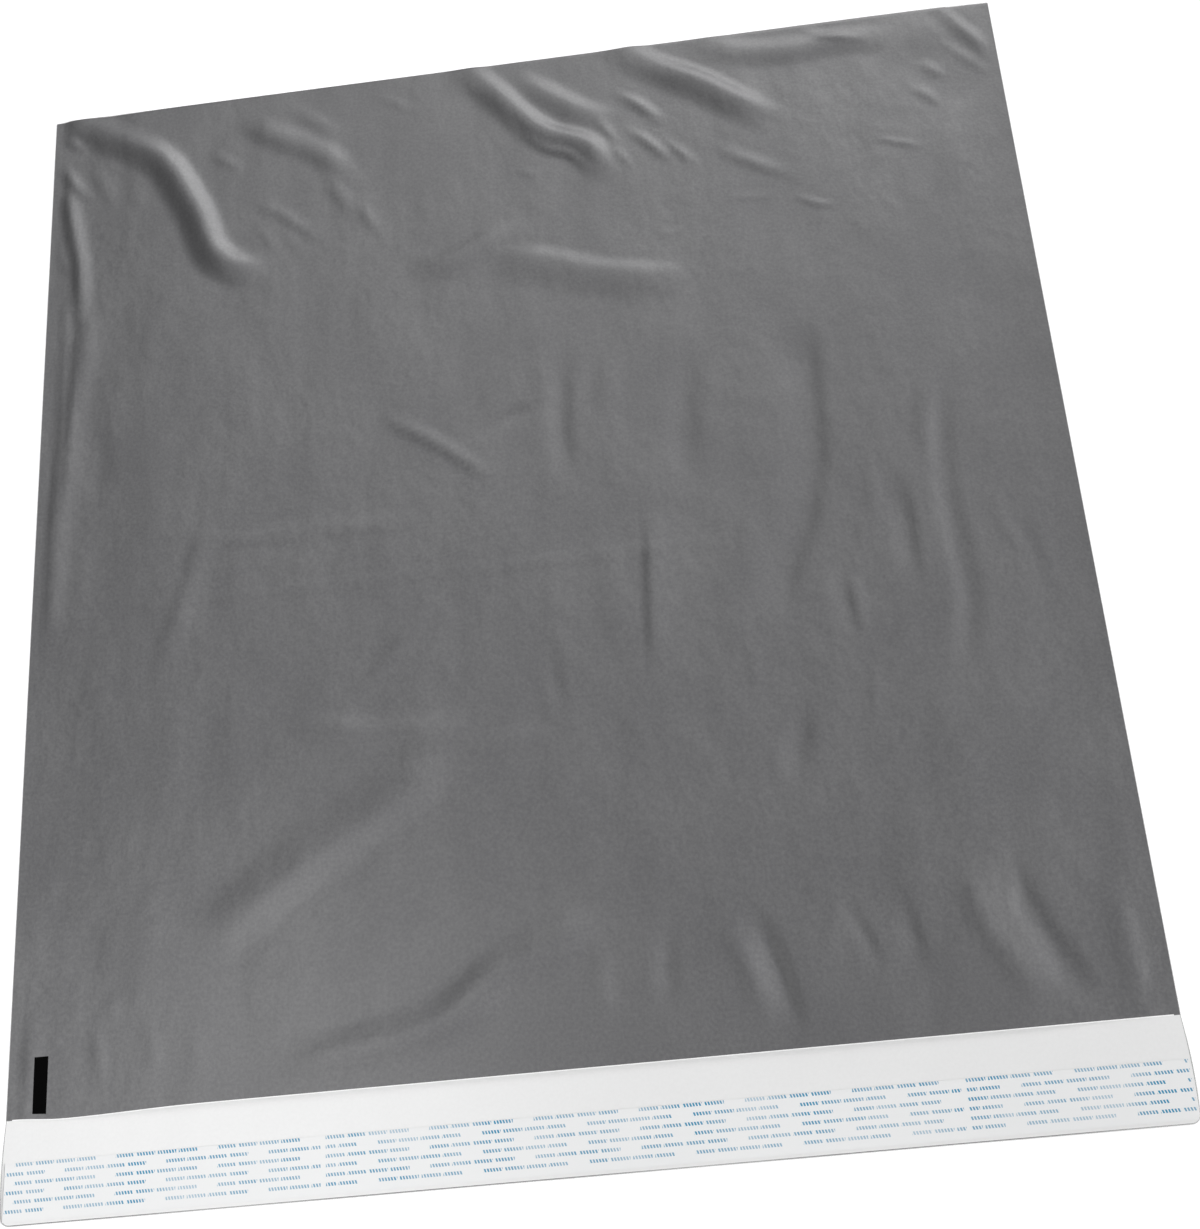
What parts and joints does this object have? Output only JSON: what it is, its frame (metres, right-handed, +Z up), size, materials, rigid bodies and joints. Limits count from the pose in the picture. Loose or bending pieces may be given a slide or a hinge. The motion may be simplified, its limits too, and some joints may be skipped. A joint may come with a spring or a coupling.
{
  "type": "poly mailer",
  "caption": "Large square film mailing bag lying flat and empty, with its flap open, an adhesive strip under a release liner, and a creased front panel.",
  "frame": {"origin": "under the middle of the whole mailer, flap included, on the surface that its back panel lies on", "axes": "+Z up out of the creased front panel, +Y from the mouth and flap towards the bottom fold, +X to the right seen from the flap"},
  "size_m": [0.6118, 0.671, 0.0066],
  "materials": {
    "mailer_film": "satin",
    "hot_melt": "gloss",
    "liner_film": "satin"
  },
  "bodies": {
    "root": {"film_bag": "mailer_film", "adhesive_strip": "hot_melt", "release_liner": "liner_film"}
  },
  "joints": []
}
